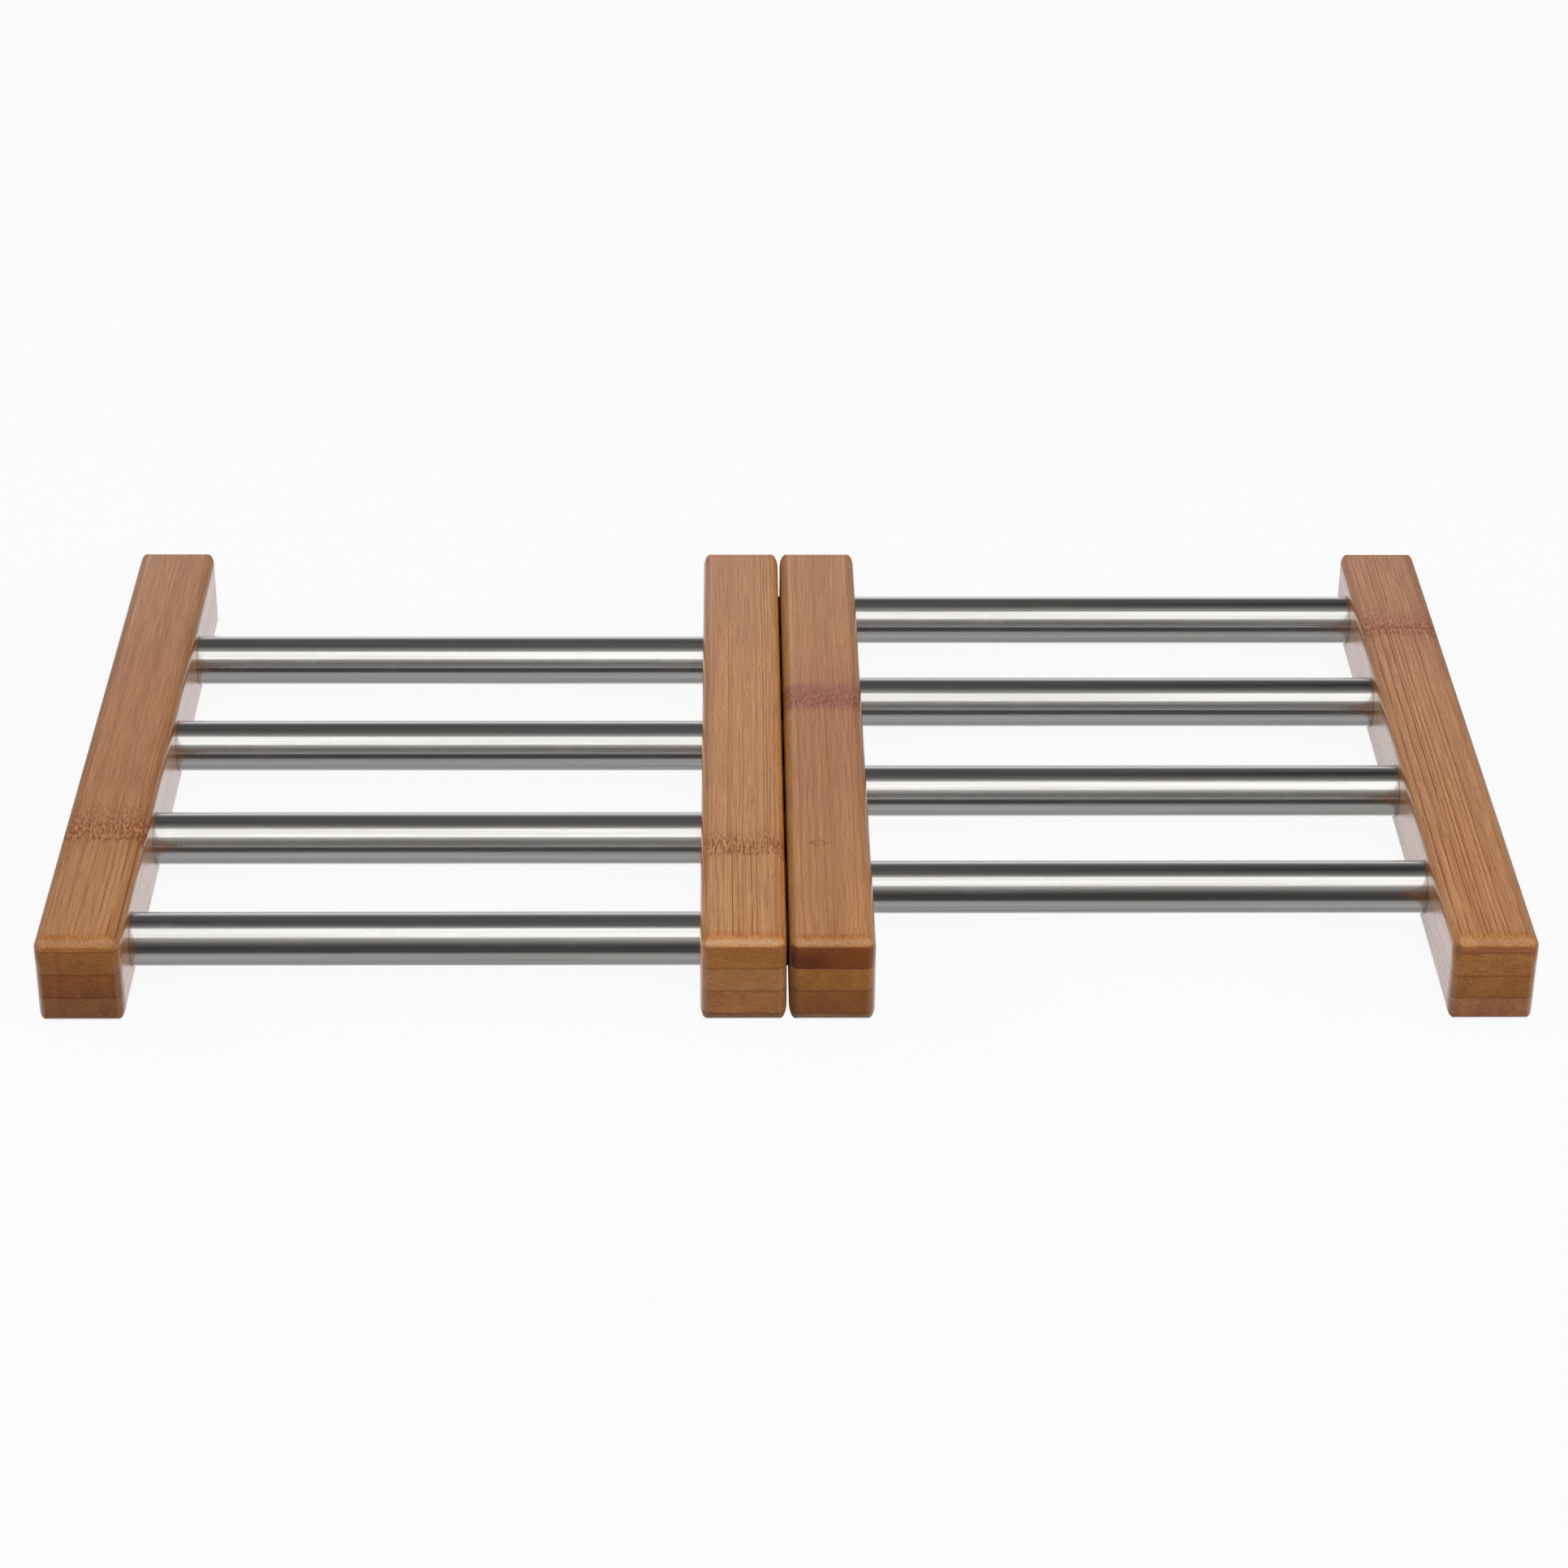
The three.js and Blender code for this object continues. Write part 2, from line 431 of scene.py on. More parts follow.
class Nodes:
    """Short ways to add nodes to a tree. Numbers come as fields, and colours and vectors as sockets."""

    def __init__(self, tree):
        self.tree = tree
        tree.nodes.clear()

    def add(self, kind, inputs=None, **settings):
        node = self.tree.nodes.new(kind)
        for key, value in settings.items():
            setattr(node, key, value)
        for key, value in (inputs or {}).items():
            self.feed(node.inputs[key], value)
        return node

    def feed(self, socket, value):
        if isinstance(value, Field):
            value = value.socket
        if isinstance(value, bpy.types.NodeSocket):
            self.tree.links.new(value, socket)
        else:
            socket.default_value = value

    def math(self, operation, a, b=0.0):
        node = self.add("ShaderNodeMath", {0: a, 1: b}, operation=operation)
        return Field(self, node.outputs[0])

    def split(self, vector):
        outputs = self.add("ShaderNodeSeparateXYZ", {0: vector}).outputs
        return [Field(self, output) for output in outputs]

    def join(self, x, y, z):
        return self.add("ShaderNodeCombineXYZ", {0: x, 1: y, 2: z}).outputs[0]

    def noise(self, vector, detail=2.0):
        node = self.add("ShaderNodeTexNoise", {"Vector": vector, "Scale": 1.0, "Detail": detail})
        return Field(self, node.outputs["Fac"])

    def cells(self, vector, randomness=1.0):
        """The distance, by x and y, to the nearest of scattered points, about one to each unit cell."""
        inputs = {"Vector": vector, "Scale": 1.0, "Randomness": randomness}
        node = self.add("ShaderNodeTexVoronoi", inputs, feature="F1", voronoi_dimensions="2D")
        return Field(self, node.outputs["Distance"])

    def row(self, value):
        """The distance to the nearest of points in a row, about one to each unit, and a random share
        that each point has of its own."""
        inputs = {"W": value, "Scale": 1.0, "Randomness": 1.0}
        node = self.add("ShaderNodeTexVoronoi", inputs, feature="F1", voronoi_dimensions="1D")
        return Field(self, node.outputs["Distance"]), self.split(node.outputs["Color"])[0]

    def blend(self, factor, a, b, mode="MIX"):
        node = self.add("ShaderNodeMix", data_type="RGBA", blend_type=mode)
        self.feed(node.inputs[0], factor)
        self.feed(node.inputs[6], a)
        self.feed(node.inputs[7], b)
        return node.outputs[2]

    def bump(self, strength, distance, height):
        inputs = {"Strength": strength, "Distance": distance, "Height": height}
        return self.add("ShaderNodeBump", inputs).outputs[0]

    def millimetres(self):
        """Places on the piece in millimetres from its own middle."""
        places = self.add("ShaderNodeTexCoord").outputs["Object"]
        scaled = self.add("ShaderNodeVectorMath", {0: places}, operation="SCALE")
        scaled.inputs["Scale"].default_value = 1 / MM
        return self.split(scaled.outputs[0])

    def facing_up_or_down(self):
        """1 where the surface faces up or down rather than sideways."""
        upwards = self.split(self.add("ShaderNodeTexCoord").outputs["Normal"])[2]
        return abs(upwards).above(0.7)

    def surface(self, shader):
        output = self.add("ShaderNodeOutputMaterial")
        self.tree.links.new(shader.outputs[0], output.inputs["Surface"])


def new_material(name):
    material = bpy.data.materials.new(name)
    material.use_nodes = True
    return material, Nodes(material.node_tree)


# Bamboo

@dataclass
class Bar:
    """How one bar's bamboo looks. Heights are millimetres above the underside, x and y millimetres
    across and along the bar from its middle, and tints multiply the colour of the top ply."""

    seed: float
    light: tuple
    dark: tuple
    line_colour: tuple
    line_strengths: tuple  # in front of the knot and behind it
    line_gaps: tuple  # from line to line, in front of the knot and behind it
    glue_heights: tuple
    ply_tints: tuple  # on the long faces, from the lowest ply up
    end_tints: tuple  # on the end faces
    ply_fade: float  # share of a ply's colour that is gone at its top
    knot_y: float
    knot_speckle: float
    knot_speckle_length: float
    knot_tint: float
    knot_dashes: float = 0.0
    knot_line: float = 0.0
    fibre_contrast: float = 1.0
    lines_from_x: float = None  # lines are faint up to here and full from the next one on
    lines_full_x: float = None
    streak_x: float = None  # of a reddish streak
    end_gloss: float = 1.0  # share of the lacquer that stays on the end's upper round
    round_shade: float = 0.87  # of the end's upper round
    end_orange: float = 0.2  # of a ragged orange band where the top meets the end's round
    stain_x: float = None  # of a dark patch on the top ply's end
    rubbed_side: int = 0  # the side, 1 or -1, that touches the other inner bar and has no lacquer
    rubbed_tint: tuple = None
    shade_ends: tuple = None  # y where a darker stretch begins and ends
    shade: tuple = None
    scar_x: float = None
    scar_y: float = None


# Parts of a bar's surface. Each pair says where a part begins and where it is full, in millimetres
# from the bar's nearer flat end, above its underside, or inwards from its rubbed side.
END_ROUND = (3.0, 1.8)
END_FACE = (0.35, 0.05)
END_GRAIN = (3.0, 0.6)
END_GRAIN_HEIGHTS = (20.2, 19.2)
UPPER_ROUND_HEIGHTS = (14.0, 17.0)
ORANGE_FROM_TOP = (4.4, 3.4)
ORANGE_FROM_ROUND = (1.6, 2.3)
STAIN_HEIGHTS = (19.0, 16.0)
RUBBED_DEPTHS = (2.2, 1.0)
# Heights and distances from the end of the painted shade and warm bounce light deep in the gap between the
# inner bars
GAP_BOUNCE_SHADE_HEIGHTS = (20.0, 17.0)
GAP_BOUNCE_SHADE_FROM_END = (3.5, 7.0)

STAIN_FADE = 7.0  # millimetres across the bar in which the dark patch fades out
STRETCH_EDGE = 14.0  # half of the way over which a darker stretch begins and ends
SCAR_RADII = (1.5, 1.1)  # across and along the bar

REDDISH = colour(150, 82, 60)
KNOT_DARK = colour(140, 72, 18)
KNOT_PALE = colour(218, 160, 92)
STAIN_SHADE = (0.68, 0.6, 0.45, 1)
# Painted shade and warm bounce light, deep in the gap between the inner bars
GAP_BOUNCE_SHADE = (1.1, 0.86, 0.7, 1)
END_ORANGE = (1, 0.82, 0.58, 1)
GLUE_SHADE = (0.66, 0.58, 0.5, 1)

BARS = {
    "left_frame_outer_bar": Bar(
        seed=3.1, light=colour(194, 136, 75), dark=colour(162, 104, 53), line_colour=colour(140, 72, 10),
        line_strengths=(1.1, 0.5), line_gaps=(0.9, 1.0), lines_from_x=-5.0, lines_full_x=5.0,
        streak_x=-4.6, shade_ends=(-55.0, 55.0), shade=(0.91, 0.82, 0.73, 1),
        glue_heights=(6.7, 12.6, 18.5), ply_fade=-0.12,
        ply_tints=((0.95, 0.9, 0.85, 1), (0.85, 0.78, 0.74, 1), (0.98, 0.95, 0.95, 1), (1, 1, 1, 1)),
        end_tints=((0.45, 0.4, 0.42, 1), (0.45, 0.33, 0.23, 1), (0.57, 0.5, 0.41, 1), (0.85, 0.76, 0.64, 1)),
        knot_y=-48.0, knot_dashes=1.6, knot_speckle=1.1, knot_speckle_length=17.0, knot_tint=0.05,
        end_gloss=0.1,
    ),
    "right_frame_inner_bar": Bar(
        seed=11.7, light=colour(213, 153, 90), dark=colour(186, 124, 67), line_colour=colour(152, 82, 10),
        line_strengths=(0.9, 0.65), line_gaps=(1.4, 0.75), fibre_contrast=1.2, rubbed_side=1,
        rubbed_tint=(1.08, 1.1, 1.1, 1), end_orange=1.0, round_shade=0.98,
        glue_heights=(2.6, 8.4, 14.1), ply_fade=0.06,
        ply_tints=((0.95, 0.92, 0.9, 1), (0.95, 0.95, 0.95, 1), (1, 1.02, 1.05, 1), (1, 1, 1, 1)),
        end_tints=((0.4, 0.38, 0.6, 1), (0.57, 0.51, 0.5, 1), (0.62, 0.6, 0.63, 1), (0.58, 0.48, 0.31, 1)),
        knot_y=-54.8, knot_dashes=0.85, knot_speckle=0.7, knot_speckle_length=10.0, knot_tint=0.1,
    ),
    "left_frame_inner_bar": Bar(
        seed=23.9, light=colour(193, 134, 76), dark=colour(167, 108, 58), line_colour=colour(144, 78, 16),
        line_strengths=(0.6, 0.5), line_gaps=(1.1, 0.7), rubbed_side=-1,
        shade_ends=(-38.0, 34.0), shade=(0.91, 0.84, 0.86, 1),
        glue_heights=(2.6, 8.4, 14.1), ply_fade=-0.08,
        ply_tints=((0.9, 0.85, 0.8, 1), (0.85, 0.78, 0.7, 1), (0.95, 0.92, 0.85, 1), (1, 1, 1, 1)),
        end_tints=((0.5, 0.53, 0.7, 1), (0.47, 0.38, 0.25, 1), (0.62, 0.54, 0.3, 1), (0.4, 0.23, 0.05, 1)),
        stain_x=-4.5, end_gloss=0.45, end_orange=0.5, rubbed_tint=(0.77, 0.87, 0.9, 1),
        knot_y=15.0, knot_speckle=1.1, knot_speckle_length=7.0, knot_tint=0.85, scar_x=-2.6, scar_y=-53.3,
    ),
    "right_frame_outer_bar": Bar(
        seed=37.3, light=colour(202, 143, 87), dark=colour(171, 112, 62), line_colour=colour(138, 64, 8),
        line_strengths=(1.45, 0.8), line_gaps=(0.95, 0.7), lines_from_x=6.5, lines_full_x=1.5,
        shade_ends=(30.0, 110.0), shade=(0.93, 0.89, 0.92, 1),
        glue_heights=(6.4, 12.0, 17.9), ply_fade=-0.1,
        ply_tints=((0.8, 0.83, 0.88, 1), (0.8, 0.78, 0.76, 1), (0.8, 0.8, 0.76, 1), (1, 1, 1, 1)),
        end_tints=((0.54, 0.5, 0.58, 1), (0.53, 0.45, 0.3, 1), (0.61, 0.53, 0.38, 1), (0.6, 0.5, 0.42, 1)),
        knot_y=52.0, knot_dashes=0.5, knot_speckle=0.8, knot_speckle_length=14.0, knot_line=0.5,
        knot_tint=0.22, end_gloss=0.0,
    ),
}


class Plies:
    """The layers of a bar at each place: ply number, height above the glue below, and glue lines."""

    def __init__(self, n, look, x, y, height):
        self.n = n
        wave = n.noise(n.join(x * 0.12, y * 0.02, look.seed), detail=1.0)
        wavy = height + (wave - 0.5) * 0.5
        self.overs = []
        self.number = 0.0
        self.glue = 0.0
        self.up_in_ply = wavy
        below = 0.0
        for glue_height in look.glue_heights:
            over = wavy.above(glue_height)
            self.overs.append(over)
            self.number = self.number + over
            self.up_in_ply = self.up_in_ply - over * (glue_height - below)
            self.glue = self.glue + abs(wavy - glue_height).rise(0.42, 0.1)
            below = glue_height

    def tint(self, tints):
        chosen = tints[0]
        for over, above in zip(self.overs, tints[1:]):
            chosen = self.n.blend(over, chosen, above)
        return chosen


class Grain:
    """Long fibres and vascular bundles, which show as lines along the bar and as dots on its ends."""

    def __init__(self, n, look, x, y, z, plies):
        self.n = n
        wander = n.noise(n.join(look.seed, y / 90, plies.number), detail=1.0)
        self.across = x + wander * 0.8 + (plies.number * 31.7 + look.seed)
        self.along = y
        self.up = z + plies.number * 17.3
        self.past_knot = y.above(look.knot_y)
        level = n.facing_up_or_down()
        self.on_surface = self.across * level + self.up * (1.0 - level)
        self.fine = self.fibres(width=0.26, length=14, detail=3.0)
        self.middle = self.fibres(width=0.8, length=90)
        self.broad = self.fibres(width=5, length=120, detail=1.0)

    def fibres(self, width, length, detail=2.0):
        places = self.n.join(self.across / width, self.along / length, self.up / width)
        return self.n.noise(places, detail)

    def bundle_ends(self, spacing, core, edge):
        """Dots where bundles meet the end of the bar."""
        places = self.n.join(self.across / spacing, self.up / spacing, 0.0)
        return self.n.cells(places).rise(edge, core)

    def by_knot(self, in_front, behind):
        """A value that changes at the knot."""
        return in_front + self.past_knot * (behind - in_front)

    def lines(self, gaps, strengths):
        """Dark lines of cut bundles along the bar, each with a strength of its own that comes and goes."""
        gap = self.by_knot(*gaps)
        distance, own = self.n.row(self.on_surface / gap + self.past_knot * 41.3)
        thin = (distance * gap).rise(0.2, 0.08)
        along = self.n.noise(self.n.join(self.along / 22, own * 40, self.past_knot), detail=1.0)
        strength = (0.25 + own * own * 0.85) * along.rise(0.2, 0.5)
        return (thin * strength * self.by_knot(*strengths)).at_most(1.0)

    def flecks(self, width, length):
        """Short dark strokes."""
        places = self.n.join(self.on_surface / width, self.along / length, 0.0)
        return self.n.cells(places).rise(0.3, 0.1)


class Knot:
    """Dark and pale marks where a node of the bamboo crosses the top ply, and the tint round them."""

    def __init__(self, n, look, x, y, grain, plies):
        self.n = n
        wobble = n.noise(n.join(x * 0.45, look.seed, plies.number))
        self.across = grain.across + wobble * 0.8
        self.away = y - look.knot_y - (wobble - 0.5) * 2.5
        near = abs(self.away)
        uneven = n.noise(n.join(x * 0.5, y * 0.35, look.seed)).rise(0.3, 0.6)
        dashes = self.strokes(width=0.68, length=4.6, core=0.2, edge=0.42, shift=0.9)
        dashes = dashes * near.rise(4.6, 3.0) * uneven
        speckles = self.strokes(width=0.62, length=2.4, core=0.18, edge=0.4, shift=4.1)
        speckles = speckles * self.away.rise(-6.0, -3.0) * self.away.rise(look.knot_speckle_length, 1.0)
        line = near.rise(0.9, 0.15)
        self.dark = dashes * look.knot_dashes + speckles * look.knot_speckle + line * look.knot_line
        if look.scar_x is not None:
            self.dark = self.dark + scar(n, look, x, y)
        between = self.strokes(width=0.6, length=1.5, core=0.1, edge=0.42, shift=7.7)
        self.pale = between * near.rise(5.0, 1.5) * max(look.knot_dashes, 0.3)
        band = abs(self.away - 1.5).rise(8.5, 3.0)
        self.tint = band * look.knot_tint * (0.5 + uneven * 0.5)

    def strokes(self, width, length, core, edge, shift):
        places = self.n.join(self.across / width, (self.away + shift) / length, 0.0)
        return self.n.cells(places, 0.85).rise(edge, core)


def scar(n, look, x, y):
    """A small oval scar with a broken rim, darkest on one side, and a tail on the other."""
    ragged = (n.noise(n.join(x * 1.3, y * 0.6, look.seed)) - 0.5) * 1.4
    a = (x - look.scar_x) / SCAR_RADII[0]
    b = (y - look.scar_y) / SCAR_RADII[1]
    away = (a * a + b * b).root() + ragged
    broken = n.noise(n.join(x * 0.9, y * 1.4, look.seed + 5.0)).rise(0.35, 0.6)
    rim = abs(away - 1.0).rise(0.5, 0.1) * (0.2 + broken * 0.5)
    blot = (abs(a + 1.0) + abs(b) * 1.2 + ragged).rise(0.9, 0.2)
    tail = abs(b + ragged).rise(0.5, 0.1) * a.rise(3.2, 1.2) * a.rise(0.6, 1.2)
    return rim + blot * 0.75 + tail * 0.35


class Bamboo:
    """Laminated bamboo under clear lacquer, which the end grain soaks up. Each draw step lays a
    colour over the ones before it."""

    def __init__(self, name, look, size):
        self.material, self.n = new_material(name)
        n = self.n
        self.look = look
        x, y, z = n.millimetres()
        self.x = x
        self.y = y
        self.height = z + size.z / MM / 2
        self.from_end = size.y / MM / 2 - abs(y)
        self.find_zones(size.x / MM / 2)
        self.plies = Plies(n, look, x, y, self.height)
        self.grain = Grain(n, look, x, y, z, self.plies)
        self.knot = Knot(n, look, x, y, self.grain, self.plies)
        self.base = None

    def find_zones(self, half_width):
        """Fields that are 1 in one part of the bar's surface and 0 elsewhere."""
        self.end_grain = self.from_end.rise(*END_GRAIN) * self.height.rise(*END_GRAIN_HEIGHTS)
        self.end_round = self.from_end.rise(*END_ROUND)
        self.end_face = self.from_end.rise(*END_FACE)
        self.upper_round = self.end_round * self.height.rise(*UPPER_ROUND_HEIGHTS)
        self.off_rounds = 1.0 - self.end_round
        self.top_ply = self.height.above(self.look.glue_heights[-1])
        self.rubbed = (half_width - self.x * self.look.rubbed_side).rise(*RUBBED_DEPTHS)

    def cover(self, share, shade):
        self.base = self.n.blend(share, self.base, shade)

    def tint(self, share, tint):
        self.base = self.n.blend(share, self.base, tint, mode="MULTIPLY")

    def draw_fibres(self):
        grain = self.grain
        share = grain.fine * 0.6 + (grain.middle * 0.2 + grain.broad * 0.2)
        self.base = self.n.blend(share.rise(0.38, 0.62), self.look.dark, self.look.light)
        hairs = grain.fibres(width=0.3, length=40).rise(0.54, 0.66)
        self.hairs = hairs * self.off_rounds * (0.3 * self.look.fibre_contrast)
        flecks = grain.flecks(width=0.5, length=6.5) * grain.fibres(width=2.5, length=14).rise(0.4, 0.62)
        self.cover(self.hairs.at_least(flecks * self.off_rounds * 0.45), self.look.line_colour)

    def draw_lines(self):
        look = self.look
        self.lines = self.grain.lines(look.line_gaps, look.line_strengths) * self.off_rounds
        if look.lines_from_x is not None:
            self.lines = self.lines * (0.3 + self.x.rise(look.lines_from_x, look.lines_full_x) * 0.7)
        self.cover(self.lines, look.line_colour)

    def draw_bundle_ends(self):
        self.dots = self.grain.bundle_ends(spacing=0.55, core=0.12, edge=0.42) * self.end_round
        self.cover(self.dots * (0.16 - self.end_face * 0.1), self.look.line_colour)

    def draw_orange_band(self):
        ragged = (self.grain.fibres(width=0.5, length=60) - 0.5) * 3.0
        band = (self.from_end + ragged).rise(*ORANGE_FROM_TOP) * self.from_end.rise(*ORANGE_FROM_ROUND)
        self.tint(band * self.look.end_orange, END_ORANGE)

    def draw_streak(self):
        if self.look.streak_x is None:
            return
        streak = abs(self.x - (self.look.streak_x + self.grain.middle * 1.2)).rise(1.0, 0.1)
        self.cover(streak * self.grain.broad.rise(0.35, 0.6) * 0.4, REDDISH)

    def draw_knot(self):
        self.cover(self.knot.tint * self.top_ply, REDDISH)
        self.cover(self.knot.pale * 0.35 * self.top_ply, KNOT_PALE)
        self.cover((self.knot.dark * 0.95).at_most(0.95) * self.top_ply, KNOT_DARK)

    def draw_dark_stretch(self):
        if self.look.shade_ends is None:
            return
        near_y, far_y = self.look.shade_ends
        begins = self.y.rise(near_y - STRETCH_EDGE, near_y + STRETCH_EDGE)
        ends = self.y.rise(far_y + STRETCH_EDGE, far_y - STRETCH_EDGE)
        self.tint(begins * ends * self.top_ply, self.look.shade)

    def draw_plies(self):
        look = self.look
        on_sides = self.plies.tint(look.ply_tints)
        on_ends = self.plies.tint(look.end_tints)
        self.tint(1.0, self.n.blend(self.end_grain, on_sides, on_ends))
        mottle = self.n.noise(self.n.join(self.x * 0.5, self.height * 2.0, look.seed))
        rounded = self.upper_round * (1.0 - self.end_face)
        fade = 1.0 - self.plies.up_in_ply.rise(0.5, 5.5) * look.ply_fade
        fade = fade * (1.0 + (mottle - 0.5) * self.end_face * 0.5)
        fade = fade * (1.0 - rounded * (1.0 - look.round_shade))
        self.tint(1.0, self.n.join(fade, fade, fade))

    def draw_stain(self):
        if self.look.stain_x is None:
            return
        patch = self.x.rise(self.look.stain_x + STAIN_FADE, self.look.stain_x)
        patch = patch * self.height.rise(*STAIN_HEIGHTS)
        self.tint(patch * self.end_grain * self.top_ply, STAIN_SHADE)

    def draw_glue(self):
        self.tint(self.plies.glue * 0.7, GLUE_SHADE)

    def draw_rubbed_side_and_gap_shade(self):
        if not self.look.rubbed_side:
            return
        self.tint(self.rubbed, self.look.rubbed_tint)
        # Painted shade and warm bounce light: darker and redder deep in the gap between the inner bars, away
        # from the ends
        deep = self.height.rise(*GAP_BOUNCE_SHADE_HEIGHTS) * self.from_end.rise(*GAP_BOUNCE_SHADE_FROM_END)
        self.tint(self.rubbed * deep, GAP_BOUNCE_SHADE)

    def relief(self):
        relief = self.grain.fine * 0.5 - (self.lines * 0.3 + self.hairs)
        relief = relief - self.knot.dark * self.top_ply * 0.2 - self.dots * 1.2
        return self.n.bump(0.3, 0.08 * MM, relief)

    def roughness(self):
        rough = 0.26 + (self.grain.fine * 0.14 + self.end_face * 0.2)
        if self.look.rubbed_side:
            rough = rough + self.rubbed * 0.4
        return rough

    def lacquer(self):
        pits = self.lines.at_least(self.knot.dark.at_most(1.0) * self.top_ply)
        lacquer = (1.0 - self.end_face * 0.8) * (1.0 - pits * 0.85)
        lacquer = lacquer * (1.0 - self.upper_round * (1.0 - self.look.end_gloss))
        if self.look.rubbed_side:
            lacquer = lacquer * (1.0 - self.rubbed)
        return lacquer

    def finish(self):
        bump = self.relief()
        shader = self.n.add("ShaderNodeBsdfPrincipled", {
            "Base Color": self.base,
            "Roughness": self.roughness(),
            "IOR": 1.5,
            "Specular IOR Level": 0.5 - self.end_face * 0.2,
            "Coat Weight": self.lacquer(),
            "Coat Roughness": 0.25,
            "Coat IOR": 1.5,
            "Normal": bump,
            "Coat Normal": bump,
        })
        self.n.surface(shader)


def bamboo(name, look, size):
    wood = Bamboo(name, look, size)
    wood.draw_fibres()
    wood.draw_lines()
    wood.draw_bundle_ends()
    wood.draw_orange_band()
    wood.draw_streak()
    wood.draw_knot()
    wood.draw_dark_stretch()
    wood.draw_plies()
    wood.draw_stain()
    wood.draw_glue()
    wood.draw_rubbed_side_and_gap_shade()
    wood.finish()
    return wood.material


# Metals

# Painted shade: a dark brown ring on each tube where it crosses the narrow gap between the inner bars
TUBE_GAP_SHADE = colour(110, 62, 38)
TUBE_GAP_SHADE_BEGINS = 0.85  # millimetres outside the inner bar's face
TUBE_GAP_SHADE_FULL = 0.55
STEEL_DARK = colour(196, 194, 190)
STEEL_LIGHT = colour(212, 211, 208)
STEEL_SCRATCH = colour(232, 232, 230)
ZINC_DARK = colour(120, 120, 120)
ZINC_LIGHT = colour(176, 177, 178)


def brushed_steel(name, seed, side, reach):
    """Stainless tube, ground lengthwise, with faint handling marks. Where it goes into its own inner bar,
    on one side of its middle and reach millimetres from there, it has a dull dark brown ring of
    painted shade for the shade in the narrow gap between the inner bars."""
    material, n = new_material(name)
    x, y, z = n.millimetres()

    def spots(width, length, detail=2.0):
        return n.noise(n.join(x / length + seed, y / width, z / width), detail)

    fine = spots(width=0.16, length=22)
    broad = spots(width=0.9, length=90)
    smudge = spots(width=4, length=9)
    scratch = abs(spots(width=1.3, length=30, detail=3.0) - 0.5).rise(0.006, 0.001)
    base = n.blend(broad.rise(0.3, 0.7), STEEL_DARK, STEEL_LIGHT)
    base = n.blend(scratch * 0.35, base, STEEL_SCRATCH)
    rough = 0.12 + (fine * 0.08 + smudge.rise(0.5, 0.75) * 0.06)
    # Painted shade: the dull dark brown ring in the gap beside the tube's own inner bar, with a ragged edge
    shade_edge_noise = n.noise(n.join(x, y * 1.2, z * 1.2))
    inwards = x * side + (shade_edge_noise - 0.5) * 0.3
    gap_shade = inwards.rise(reach - TUBE_GAP_SHADE_BEGINS, reach - TUBE_GAP_SHADE_FULL)
    shader = n.add("ShaderNodeBsdfPrincipled", {
        "Base Color": n.blend(gap_shade, base, TUBE_GAP_SHADE),
        "Metallic": 1.0 - gap_shade,
        "Roughness": rough + gap_shade * 0.6,
        "Normal": n.bump(0.06, 0.02 * MM, fine * 0.8 + broad * 0.2),
    })
    n.surface(shader)
    return material


def brad_wire(name):
    """Drawn wire with a dull mottled coat of zinc."""
    material, n = new_material(name)
    x, y, z = n.millimetres()
    mottle = n.noise(n.join(x * 2.2, y * 2.2, z * 1.4), detail=3.0)
    shader = n.add("ShaderNodeBsdfPrincipled", {
        "Base Color": n.blend(mottle.rise(0.35, 0.65), ZINC_DARK, ZINC_LIGHT),
        "Metallic": 1.0,
        "Roughness": 0.34 + mottle * 0.25,
        "Normal": n.bump(0.3, 0.03 * MM, mottle),
    })
    n.surface(shader)
    return material


# Pieces

def dress_bars():
    for node_name, look in BARS.items():
        body = frame["nodes"][node_name]["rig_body"]
        low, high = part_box(node_name)
        piece = make_bar(node_name)
        piece.name = node_name + "_wood"
        piece.data.materials.append(bamboo("bamboo_" + node_name, look, high - low))
        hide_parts(node_name)
        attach(piece, body)


def dress_tubes():
    tube_names = sorted(name for name in frame["nodes"] if "_tube_" in name)
    for number, node_name in enumerate(tube_names):
        piece = make_tube(node_name)
        piece.name = node_name + "_steel"
        inner_low, inner_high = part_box(node_name.split("_tube_")[0] + "_inner_bar")
        centre_x = piece.location.x
        side = math.copysign(1, inner_low.x + inner_high.x - 2 * centre_x)
        reach = min(abs(inner_low.x - centre_x), abs(inner_high.x - centre_x)) / MM
        piece.data.materials.append(brushed_steel("steel_" + node_name, 7.3 * number, side, reach))
        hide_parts(node_name)
        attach(piece, frame["nodes"][node_name]["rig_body"])


def dress_brads():
    wire = brad_wire("brad_wire")
    for name, node in frame["nodes"].items():
        if "_brad_" in name:
            node.data.materials.clear()
            node.data.materials.append(wire)


# Studio

FLOOR_SIZE = 6.0
FLOOR_COLOUR = colour(206, 206, 208)
FLOOR_WHITE_SHARE = 0.93  # of the floor that the camera sees as plain white, whatever falls on it
ROOM_LEVEL = 0.4
WHITE = (1, 1, 1, 1)
BLACK = (0, 0, 0, 1)

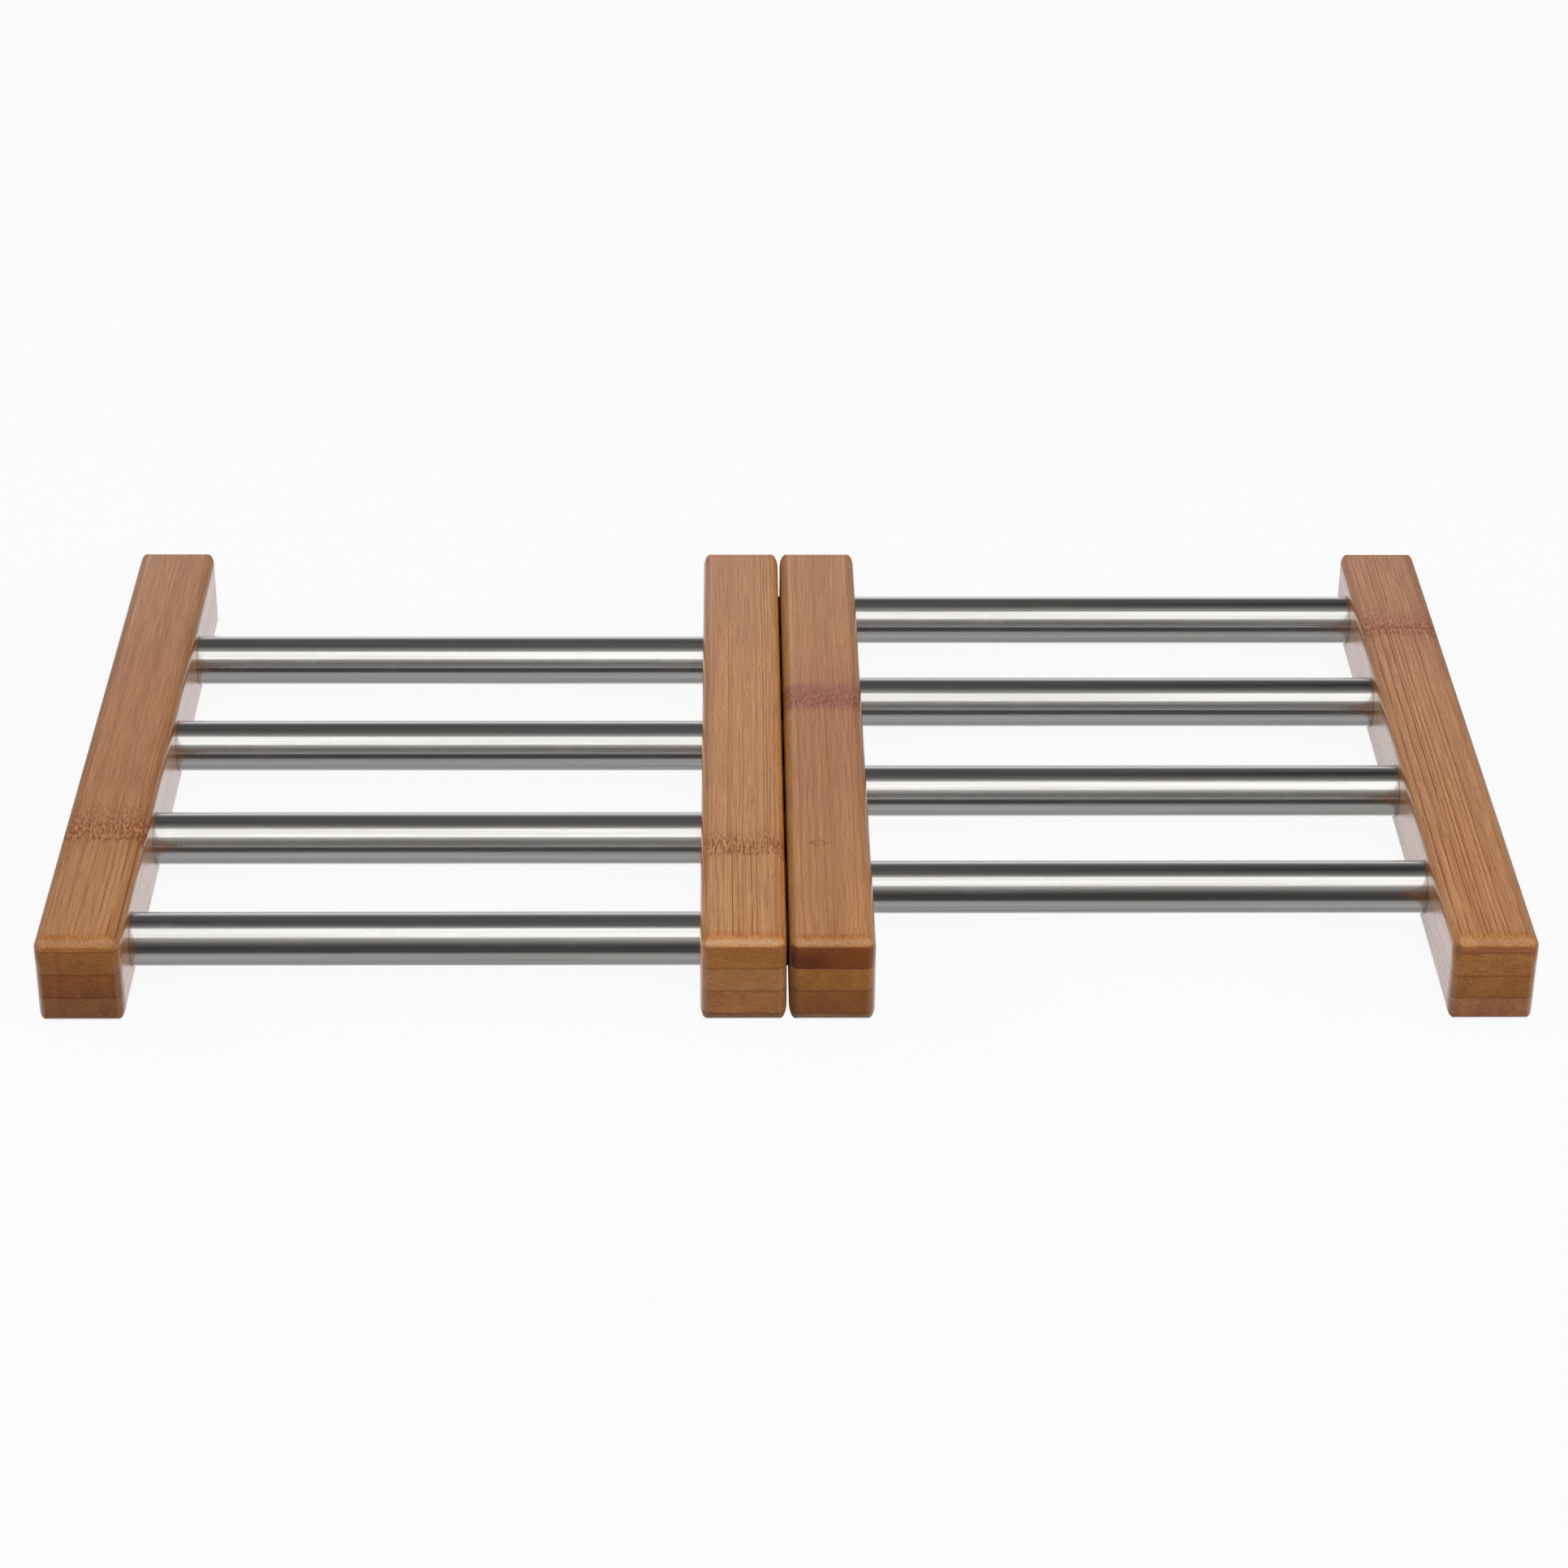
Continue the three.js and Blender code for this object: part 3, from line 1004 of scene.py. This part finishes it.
# What a mirror shows of the room, by the angle in degrees from straight up towards the front: white
# paper behind the trivet, a dim ceiling, and a dark room in front above the grey edge of the table.
WARM = (1.0, 0.98, 0.95)
PLAIN = (1.0, 1.0, 1.0)
COOL = (0.96, 0.96, 1.0)
REFLECTED_ROOM = (
    (-180, 0.38, PLAIN), (-160, 0.4, PLAIN), (-142, 1.0, COOL), (-74, 1.0, COOL), (-64, 0.42, COOL),
    (-57, 0.2, COOL), (-51, 0.12, COOL), (-40, 0.11, COOL), (-18, 0.12, WARM), (0, 0.15, WARM),
    (12, 0.42, WARM), (22, 0.1, WARM), (50, 0.1, WARM), (59, 0.5, WARM), (70, 0.32, WARM),
    (81, 0.14, WARM), (92, 0.065, WARM), (120, 0.08, WARM), (128, 0.42, WARM), (145, 0.5, PLAIN),
    (180, 0.38, PLAIN),
)

# The white paper ends on both sides, where the direction's x over y passes these pairs of values.
PAPER_ENDS_LEFT = (-0.32, -0.46)
PAPER_ENDS_RIGHT = (0.22, 0.36)
BEYOND_PAPER_SHARE = 0.8  # of the light that is missing there


def make_floor():
    """Pale paper, with a material that is white to the camera, metal and glass. In this studio
    reflections pass through it to the reflected room, which has the table's levels."""
    form = bmesh.new()
    bmesh.ops.create_grid(form, x_segments=1, y_segments=1, size=FLOOR_SIZE / 2)
    floor = object_from(form, "floor")
    material, n = new_material("floor_paper")
    rays = n.add("ShaderNodeLightPath").outputs
    seen = n.math("ADD", rays["Is Camera Ray"], rays["Is Glossy Ray"])
    seen = (seen + rays["Is Transmission Ray"]).at_most(1.0)
    diffuse = n.add("ShaderNodeBsdfDiffuse", {"Color": FLOOR_COLOUR})
    white = n.add("ShaderNodeEmission", {"Color": WHITE, "Strength": 1.0})
    layers = {0: seen * FLOOR_WHITE_SHARE, 1: diffuse.outputs[0], 2: white.outputs[0]}
    n.surface(n.add("ShaderNodeMixShader", layers))
    floor.data.materials.append(material)
    floor.visible_glossy = False


def reflected_room(n):
    """The reflected room's colour in the direction that the world is seen in."""
    x, y, z = n.split(n.add("ShaderNodeTexCoord").outputs["Generated"])
    angle = n.math("ARCTAN2", -y, z)
    ramp_node = n.add("ShaderNodeValToRGB", {"Fac": angle / (2 * math.pi) + 0.5})
    ramp = ramp_node.color_ramp
    for spare in list(ramp.elements)[1:]:
        ramp.elements.remove(spare)
    for number, (degrees, level, tint) in enumerate(REFLECTED_ROOM):
        position = degrees / 360 + 0.5
        stop = ramp.elements[0] if number == 0 else ramp.elements.new(position)
        stop.position = position
        stop.color = (level * tint[0], level * tint[1], level * tint[2], 1)
    to_right = x / y.at_least(0.1)
    beyond = to_right.rise(*PAPER_ENDS_LEFT) + to_right.rise(*PAPER_ENDS_RIGHT)
    beyond = beyond * (y.rise(0.1, 0.4) * z.rise(-0.46, -0.3))
    return n.blend(beyond * BEYOND_PAPER_SHARE, ramp_node.outputs["Color"], BLACK)


def make_world():
    """Even light from all sides, the reflected room in gloss, and plain white where the camera looks."""
    world = bpy.data.worlds.new("studio")
    bpy.context.scene.world = world
    world.use_nodes = True
    n = Nodes(world.node_tree)
    rays = n.add("ShaderNodeLightPath").outputs
    plain = (ROOM_LEVEL, ROOM_LEVEL, ROOM_LEVEL, 1)
    shown = n.blend(rays["Is Glossy Ray"], plain, reflected_room(n))
    shown = n.blend(rays["Is Camera Ray"], shown, WHITE)
    background = n.add("ShaderNodeBackground", {"Color": shown, "Strength": 1.0})
    output = n.add("ShaderNodeOutputWorld")
    n.tree.links.new(background.outputs[0], output.inputs["Surface"])


def make_softbox(name, elevation, azimuth, distance, width, height, level, in_reflections=True):
    """A rectangular light that faces the origin. Its place is so many degrees above the floor and
    from the front to the right, and its level is what a mirror would show of it."""
    data = bpy.data.lights.new(name, "AREA")
    data.shape = "RECTANGLE"
    data.size = width
    data.size_y = height
    data.energy = level * math.pi * width * height
    light = scene_object(name, data)
    rise = math.radians(elevation)
    turn = math.radians(azimuth)
    outwards = Vector((
        math.sin(turn) * math.cos(rise), -math.cos(turn) * math.cos(rise), math.sin(rise)
    ))
    light.location = outwards * distance
    light.rotation_mode = "QUATERNION"
    light.rotation_quaternion = outwards.to_track_quat("Z", "Y")
    light.visible_camera = False
    light.visible_glossy = in_reflections


def make_lights():
    front = {"distance": 1.2, "width": 1.7, "height": 0.82}
    fill = {"distance": 1.5, "width": 1.6, "height": 1.0, "in_reflections": False}
    make_softbox("front_softbox", elevation=53.5, azimuth=0, level=1.4, **front)
    make_softbox("left_fill", elevation=24, azimuth=-100, level=1.6, **fill)
    make_softbox("right_fill", elevation=24, azimuth=65, level=1.8, **fill)


def camera_turn():
    """The camera's turn from its dip below level, its yaw to the right and its roll."""
    dip, yaw, roll = CAMERA_DIP, CAMERA_YAW, CAMERA_ROLL
    forward = Vector((math.sin(yaw) * math.cos(dip), math.cos(yaw) * math.cos(dip), -math.sin(dip)))
    level_right = Vector((math.cos(yaw), -math.sin(yaw), 0))
    level_up = level_right.cross(forward)
    right = level_right * math.cos(roll) + level_up * math.sin(roll)
    up = level_up * math.cos(roll) - level_right * math.sin(roll)
    return Matrix((right, up, -forward)).transposed().to_4x4()


def make_camera():
    data = bpy.data.cameras.new("camera")
    data.lens = CAMERA_LENS_MM
    data.sensor_width = SENSOR_MM
    data.clip_start = 0.01
    data.clip_end = 20
    camera = scene_object("camera", data)
    camera.matrix_world = Matrix.Translation(CAMERA_PLACE) @ camera_turn()
    bpy.context.scene.camera = camera


make_camera()
dress_bars()
dress_tubes()
dress_brads()
make_floor()
make_world()
make_lights()
bpy.context.scene.view_settings.view_transform = "Standard"
